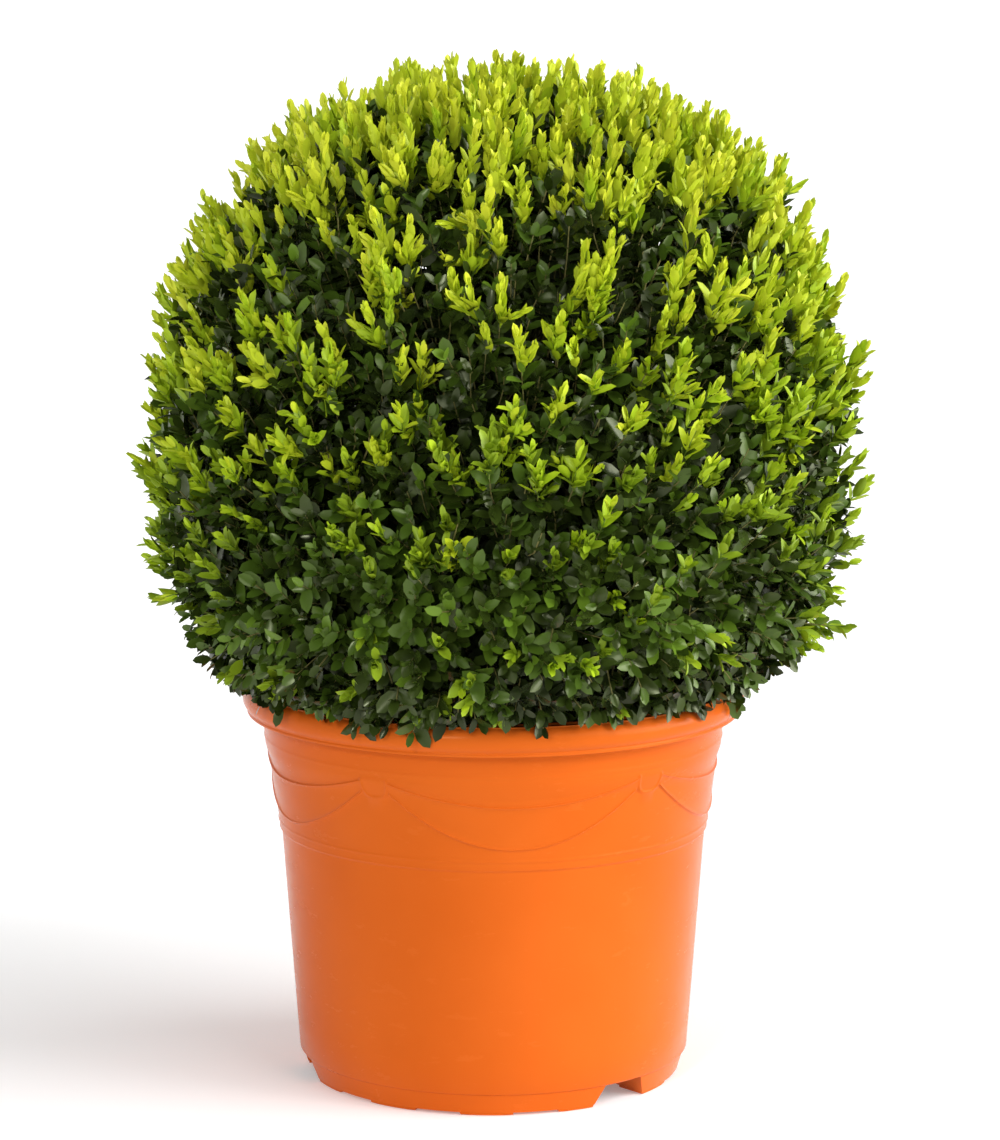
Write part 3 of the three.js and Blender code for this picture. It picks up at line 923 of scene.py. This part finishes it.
def shootTips(out, proud):
    # on the clipped surface, or on the ball's underside: level over the rim, and rising outside it
    z = out[:, 2]
    level = np.sqrt(1 - z ** 2)
    slope, edge = shoot["underSlope"], shoot["underEdge"]
    depth = ballCentre[2] - potHigh.z - shoot["rimClearance"]
    under = depth / np.maximum(-z, 0.01)
    rising = (depth + slope * edge) / np.maximum(slope * level - z, 0.01)
    under = np.where(under * level > edge, rising, under)
    return ballCentre + out * np.minimum(clippedRadius(out) + proud, under)[:, None]


shootOut = shootDirections()
height, count = shootOut[:, 2], len(shootOut)
isSkirt = np.arange(count) >= growth["shoots"]["count"]
lift = shoot["lift"][0] + shoot["lift"][1] * smooth(height, growth["lowestShoot"], -0.1)
lift = np.where(isSkirt, shoot["skirtLift"], lift)
shootAim = unit(shootOut + upward * lift[:, None] + random.normal(size=shootOut.shape) * shoot["scatter"])
sunny = sunnyShare(shootOut)
bright = random.random(count) < np.where(isSkirt, shoot["skirtBright"], sunny)
reach = shoot["newReach"][0] + shoot["newReach"][1] * smooth(height, -0.3, 0.6)
newGrowth = np.where(bright, random.uniform(0.6, 1.0, count) * reach, 0)
newProud = random.uniform(*shoot["newProud"], count) + 0.005 * smooth(height, 0, 0.6)
proud = np.where(bright, newProud, -random.uniform(*shoot["oldSunk"], count))
proud = np.where(isSkirt, random.uniform(*shoot["skirtProud"], count), proud)
strays = random.random(count) < shoot["strays"]
proud += np.where(strays, random.uniform(*shoot["strayReach"], count), 0) * (np.abs(height) < 0.6)
oldTip = shootTips(shootOut, proud) - shootAim * newGrowth[:, None]
oldTip[:, 2] = np.maximum(oldTip[:, 2], potHigh.z + shoot["rimClearance"])

# a few shoots of the skirt hang over the rim
drapes = np.flatnonzero(isSkirt & (random.random(count) < shoot["drapes"]))
outward = unit(shootOut[drapes] * [1, 1, 0])
oldTip[drapes] = outward * (rimRadius + random.uniform(0.001, 0.006, (len(drapes), 1)))
oldTip[drapes, 2] = potHigh.z - random.uniform(-0.003, 0.007, len(drapes))
shootAim[drapes] = unit(outward - 0.55 * upward)
newGrowth[drapes] = 0

parent = nearest(oldTip - 0.05 * shootAim, twigEnd)
fork = random.integers(*growth["shoots"]["forks"], count)
leaving = unit(twigPaths[parent, fork] - twigPaths[parent, fork - 1] + 0.3 * shootOut)
shootPaths = bezier(twigPaths[parent, fork], leaving, oldTip, shootAim, growth["shoots"]["steps"])


# Leaves. Mature box leaves have a thick waxy skin: dark, and glossy where they face a light. Those in the
# shade inside are matt and nearly black. New leaves are thin and soft: matt, and yellower towards the tips;
# their bright yellow-green holds painted light, the light that comes through such thin leaves.
leafKinds = {
    "leavesOldDeep": ("matureLeafDeep", "212b10", 0.25),
    "leavesOldDark": ("matureLeafDark", "2f3d12", 0.25),
    "leavesOldMid": ("matureLeafMid", "415818", 0.28),
    "leavesOldFresh": ("matureLeafFresh", "5d7a20", 0.32),
    "leavesInner": ("shadeLeaf", "273210", 0.5),
    # new leaves: their own yellow-green, made brighter with painted light that comes through them
    "leavesNewGreen": ("newLeafGreen", "869f20", 0.42),
    "leavesNewLime": ("newLeafLime", "a6c022", 0.42),
    "leavesNewYellow": ("newLeafYellow", "bdcd2a", 0.42),
    "leavesNewTips": ("newLeafTips", "d0d834", 0.42),
}

# angles are degrees from the shoot and sizes are shares of the length, from the tip's own pair downwards
matureLeaf = {
    "pairs": 8,
    "spacing": 0.0086,
    "length": 0.0190,
    "lengths": (0.74, 1.2),
    "width": 0.51,  # share of the length
    "widths": (0.88, 1.12),
    "angles": [30, 42, 50, 56, 60, 64, 66, 68],
    "sizes": [0.72, 1, 1, 1, 1, 1, 1, 1],
    "firstBack": 0.001,  # of the first pair from the tip
    "bareFoot": 0.006,
    "missing": 0.05,  # share that has dropped, and what each pair further down adds
    "scatter": 0.16,
    "faceScatter": 0.42,
    "toLight": 0.65,
    "fold": (0.10, 0.42),
    "curl": (-0.04, 0.22),
    "innerPair": 6,  # from this pair on they are shade leaves
    # each kind takes the leaves whose shade is under its number
    "shades": {"leavesOldDeep": 0.16, "leavesOldDark": 0.42, "leavesOldMid": 0.72,
               "leavesOldFresh": math.inf},
}

newLeaf = {
    "pairs": 7,
    "spacing": 0.0066,
    "length": 0.0180,
    "lengths": (0.85, 1.12),
    "width": 0.39,
    "widths": (0.88, 1.15),
    "angles": [6, 11, 15, 19, 23, 29, 36],
    "sizes": [0.66, 0.88, 1.0, 1.06, 1.06, 1.02, 0.98],
    "firstBack": 0.0003,
    "bareFoot": 0,
    "scatter": 0.05,
    "faceScatter": 0.1,
    "fold": (0.30, 0.65),
    "curl": (-0.12, 0.10),
    "shades": {"leavesNewGreen": 0.28, "leavesNewLime": 0.52, "leavesNewYellow": 0.78,
               "leavesNewTips": math.inf},
}

# stations of a leaf's outline: how far along it, and its width there
leafOutline = [(0.2, 0.80), (0.52, 1.0), (0.82, 0.74)]
innerOutline = [(0.3, 0.92), (0.75, 0.82)]
batches = {name: [] for name in leafKinds}


def leafMesh(outline, base, along, face, length, width, fold, curl):
    # leaves in their own outline: a midrib, both halves folded up from it, and a curl towards the tip
    across = unit(np.cross(face, along))
    face = np.cross(along, across)
    length, width = length[:, None], width[:, None]
    rows = [base]
    for t, half in outline:
        middle = base + along * (length * t) - face * (length * curl[:, None] * t * t)
        reach = across * (width * half / 2)
        raised = face * (width * half / 2 * fold[:, None])
        rows += [middle + reach + raised, middle, middle - reach + raised]
    rows.append(base + along * length - face * (length * curl[:, None]))
    points = np.stack(rows, 1)
    last = points.shape[1] - 1
    pattern = [(0, 2, 1), (0, 3, 2)]
    for k in range(len(outline) - 1):
        left, mid, right = 1 + 3 * k, 2 + 3 * k, 3 + 3 * k
        pattern += [(mid, mid + 3, left + 3), (mid, left + 3, left),
                    (right, right + 3, mid + 3), (right, mid + 3, mid)]
    pattern += [(last - 2, last, last - 3), (last - 1, last, last - 2)]
    faces = np.arange(len(base))[:, None, None] * points.shape[1] + np.array(pattern)[None]
    return points.reshape(-1, 3), faces.reshape(-1, 3)


def deal(kind, *leaf):
    # hands leaves out to the piece of their kind; leaf holds the arrays that leafMesh takes
    for name in leafKinds:
        mine = kind == name
        if mine.any():
            outline = innerOutline if name == "leavesInner" else leafOutline
            batches[name].append(leafMesh(outline, *[values[mine] for values in leaf]))


def byShade(shade, limits):
    return np.select([shade < limit for limit in limits.values()], list(limits), "")


def overRimEdge(place, along, length):
    # a leaf that would dip into the pot's lip lies on it instead
    tip = place + along * length[:, None]
    radius = np.hypot(tip[:, 0], tip[:, 1])
    curve = shoot["lipCurve"]
    crest = rimRadius - curve
    drop = curve - np.sqrt(np.maximum(curve ** 2 - np.maximum(radius - crest, 0) ** 2, 0))
    need = potHigh.z + 0.0015 - drop - tip[:, 2]
    dips = (need > 0) & (radius > rimRadius - 0.036) & (radius < rimRadius + 0.001)
    return unit(along + upward * np.where(dips, need / length, 0)[:, None])


def pairedLeaves(paths, leaf):
    # places of opposite leaves, each pair a quarter turn from the one before, counted back from the tip
    turnScatter, angleScatter = 0.22, 0.16  # radians
    turnStart = random.uniform(0, 6.28, len(paths))
    angles = np.radians(leaf["angles"])
    lengths = np.linalg.norm(np.diff(paths, axis=1), axis=-1)
    along = np.concatenate([np.zeros((len(paths), 1)), np.cumsum(lengths, 1)], 1)
    rows = np.arange(len(paths))
    out = []
    for j in range(leaf["pairs"]):
        back = leaf["firstBack"] + j * leaf["spacing"] * random.uniform(0.85, 1.15, len(paths))
        distance = along[:, -1] - back
        real = distance > leaf["bareFoot"]
        cell = np.clip((along < distance[:, None]).sum(1) - 1, 0, paths.shape[1] - 2)
        share = np.clip((distance - along[rows, cell]) / lengths[rows, cell], 0, 1)[:, None]
        place = paths[rows, cell] * (1 - share) + paths[rows, cell + 1] * share
        axis = unit(paths[rows, cell + 1] - paths[rows, cell])
        side = unit(np.cross(axis, upward + 0.001))
        other = np.cross(axis, side)
        for half in range(2):
            turn = turnStart + j * math.pi / 2 + half * math.pi + random.normal(size=len(paths)) * turnScatter
            radial = side * np.cos(turn)[:, None] + other * np.sin(turn)[:, None]
            angle = angles[j] + random.normal(size=len(paths)) * angleScatter
            out.append([x[real] for x in (place, axis, radial, angle, rows, np.full(len(paths), j))])
    return [np.concatenate(column) for column in zip(*out)]


def leafWay(axis, radial, angle, leaf):
    # leaves part from the shoot by their angle
    scatter = random.normal(size=axis.shape) * leaf["scatter"]
    return unit(axis * np.cos(angle)[:, None] + radial * np.sin(angle)[:, None] + scatter)


def growMatureLeaves():
    # spread wide, and turned so that their faces look out and up to the light
    leaf, leaves = matureLeaf, pairedLeaves(shootPaths, matureLeaf)
    kept = random.random(len(leaves[0])) > leaf["missing"] + leaf["missing"] * leaves[5]
    place, axis, radial, angle, row, order = [column[kept] for column in leaves]
    n = len(place)
    along = leafWay(axis, radial, angle, leaf)
    length = leaf["length"] * random.uniform(*leaf["lengths"], n) * np.array(leaf["sizes"])[order]
    along = overRimEdge(place, along, length)
    light = unit(shootOut[row] * 0.8 + upward * 0.75)
    natural = axis * np.sin(angle)[:, None] - radial * np.cos(angle)[:, None]
    face = unit(natural + light * leaf["toLight"] + random.normal(size=(n, 3)) * leaf["faceScatter"])
    width = length * leaf["width"] * random.uniform(*leaf["widths"], n)
    fold, curl = random.uniform(*leaf["fold"], n), random.uniform(*leaf["curl"], n)
    # every spray has its own green; under the ball's widest part painted light pales it, and by the rim
    # painted shade darkens it again, where the ball overhangs
    shade = random.random(count) * 0.62 + 0.25 * np.sin(shootOut @ np.array([7.1, 5.3, 6.2]) * 2.2) ** 2
    shade = shade + 0.15 * smooth(-height, 0.0, 0.35) - 0.34 * smooth(-height, 0.48, 0.60)
    shade = shade[row] - 0.055 * order + random.normal(size=n) * 0.05
    kind = np.where(order >= leaf["innerPair"], "leavesInner", byShade(shade, leaf["shades"]))
    deal(kind, place, along, face, length, width, fold, curl)
    print("leaves: mature", n)


def newShootPaths():
    # new growth, with companions that fork from the same foot
    which = np.flatnonzero(bright)
    chance = smooth(height[which], -0.8, 0.3) - 0.35 * smooth(height[which], 0.6, 0.9)
    extra = which[random.random(len(which)) < shoot["companions"] * chance]
    more = extra[random.random(len(extra)) < 0.5]
    owner = np.concatenate([which, extra, more])
    tilt = np.concatenate([np.zeros(len(which)), np.full(len(extra), 0.30), np.full(len(more), 0.36)])
    size = np.concatenate([np.ones(len(which)), random.uniform(0.6, 0.9, len(extra)),
                           random.uniform(0.5, 0.8, len(more))])
    aim = unit(shootAim[owner] + random.normal(size=(len(owner), 3)) * tilt[:, None])
    reach = np.maximum(newGrowth[owner] * size, 0.009)
    footPoint = oldTip[owner] - shootAim[owner] * 0.004 * (tilt[:, None] > 0)
    steps = growth["newStems"]["steps"]
    return owner, size, bezier(footPoint, shootAim[owner], footPoint + aim * reach[:, None], aim, steps)


def growNewLeaves(owner, size, paths):
    # upright and closely packed; they open wider low down, where less light comes
    leaf = newLeaf
    place, axis, radial, angle, row, order = pairedLeaves(paths, leaf)
    n = len(place)
    angle = angle * (1.75 - 0.75 * smooth(height[owner][row], 0.15, 0.6))
    along = leafWay(axis, radial, angle, leaf)
    natural = axis * np.sin(angle)[:, None] - radial * np.cos(angle)[:, None]
    face = unit(natural + random.normal(size=(n, 3)) * leaf["faceScatter"])
    sizes = np.array(leaf["sizes"])[order]
    length = leaf["length"] * sizes * random.uniform(*leaf["lengths"], n) * (0.8 + 0.2 * size[row])
    width = length * leaf["width"] * random.uniform(*leaf["widths"], n)
    fold, curl = random.uniform(*leaf["fold"], n), random.uniform(*leaf["curl"], n)
    # painted light from above makes new leaves paler and yellower higher on the ball; the random part is each
    # shoot's own tint
    paintedSunAndTint = 0.10 + 0.62 * smooth(height, -0.5, 0.85) + random.normal(size=count) * 0.13
    shade = paintedSunAndTint[owner][row] + 0.10 - 0.055 * order + random.normal(size=n) * 0.05
    deal(byShade(shade, leaf["shades"]), place, along, face, length, width, fold, curl)
    print("leaves: new", n)


growMatureLeaves()
newOwner, newSize, newPaths = newShootPaths()
growNewLeaves(newOwner, newSize, newPaths)

for name, (materialName, colour, roughness) in leafKinds.items():
    parts = batches[name]
    offsets = np.cumsum([0] + [len(points) for points, _ in parts])
    points = np.concatenate([points for points, _ in parts])
    faces = np.concatenate([faces + offset for (_, faces), offset in zip(parts, offsets)])
    material = newMaterial(materialName, colour, roughness, Specular_Tint=linear("e6ecc4"))[0]
    finished(meshPiece(name, points, faces, material), "leaves", "crown")
    print(name, len(faces))

# every other point is enough for stems so thin, and a shoot's first span is hidden deep in the leaves
finished(limbPiece("shootStems", shootPaths, growth["shoots"], twigBark, slice(2, None, 2)), "bark")
finished(limbPiece("newStems", newPaths, growth["newStems"], greenBark, slice(None, None, 2)), "bark")
print("growth: stems of the shoots")


# Stage, lights and camera.
studio = {
    "distance": 3.2,
    "height": 0.926,
    "pitch": 9.3,
    "lens": 129.4,
    "shift": 0.0059,
    "floorReach": 90,
    "floorDrop": 0.0005,
    "zenith": 0.40,  # strength of the surround overhead
    "horizon": 1.02,
    "tableGlow": 0.20,  # of the floor, lit from below as a light table is
    # strength, where it comes from, and how wide it is in degrees
    "lights": {
        "keyLight": (1.12, (1.0, -0.9, 1.1), 40),
        "sideLight": (4.0, (1.6, -0.26, 0.40), 50),
        "frontBox": (0.8, (-0.42, -1.05, 0.55), 9),
    },
}


def sunLight(name, strength, place, softness):
    # a wide soft source, even over the whole floor
    lamp = bpy.data.lights.new(name, "SUN")
    lamp.energy, lamp.angle = strength, math.radians(softness)
    holder = inScene(name, lamp)
    holder.rotation_euler = (-Vector(place)).to_track_quat("-Z", "Y").to_euler()


def makeStage():
    # matt white acrylic over a light table: no gloss, and shadows that stay pale
    white = newMaterial("paleStudioFloor", "fafafa", 0.9, Emission_Color=linear("ffffff"),
                        Emission_Strength=studio["tableGlow"])[0]
    reach = studio["floorReach"]
    corners = [(x * reach, y * reach, -studio["floorDrop"]) for x, y in ((-1, -1), (1, -1), (1, 1), (-1, 1))]
    meshPiece("studioFloor", corners, [(0, 1, 2, 3)], white)
    world = bpy.data.worlds.new("studio")
    world.use_nodes = True
    tree = world.node_tree
    surround = tree.nodes["Background"]
    surround.inputs["Color"].default_value = (1, 1, 1, 1)
    outward = addNode(tree, "ShaderNodeTexCoord").outputs["Generated"]
    rise = addNode(tree, "ShaderNodeSeparateXYZ", None, {"Vector": outward})
    fade = addNode(tree, "ShaderNodeMapRange", None,
                   {"Value": rise.outputs["Z"], "From Min": 0.03, "From Max": 0.35,
                    "To Min": studio["horizon"], "To Max": studio["zenith"]})
    tree.links.new(fade.outputs["Result"], surround.inputs["Strength"])
    bpy.context.scene.world = world
    for name, light in studio["lights"].items():
        sunLight(name, *light)


def makeCamera():
    camera = bpy.data.cameras.new("camera")
    camera.lens, camera.sensor_width, camera.shift_x = studio["lens"], 36, studio["shift"]
    holder = inScene("camera", camera)
    holder.location = (0, -studio["distance"], studio["height"])
    holder.rotation_euler = (math.radians(90 - studio["pitch"]), 0, 0)
    bpy.context.scene.camera = holder


makeStage()
makeCamera()
bpy.context.scene.view_settings.view_transform = "Standard"
print("stage and camera")
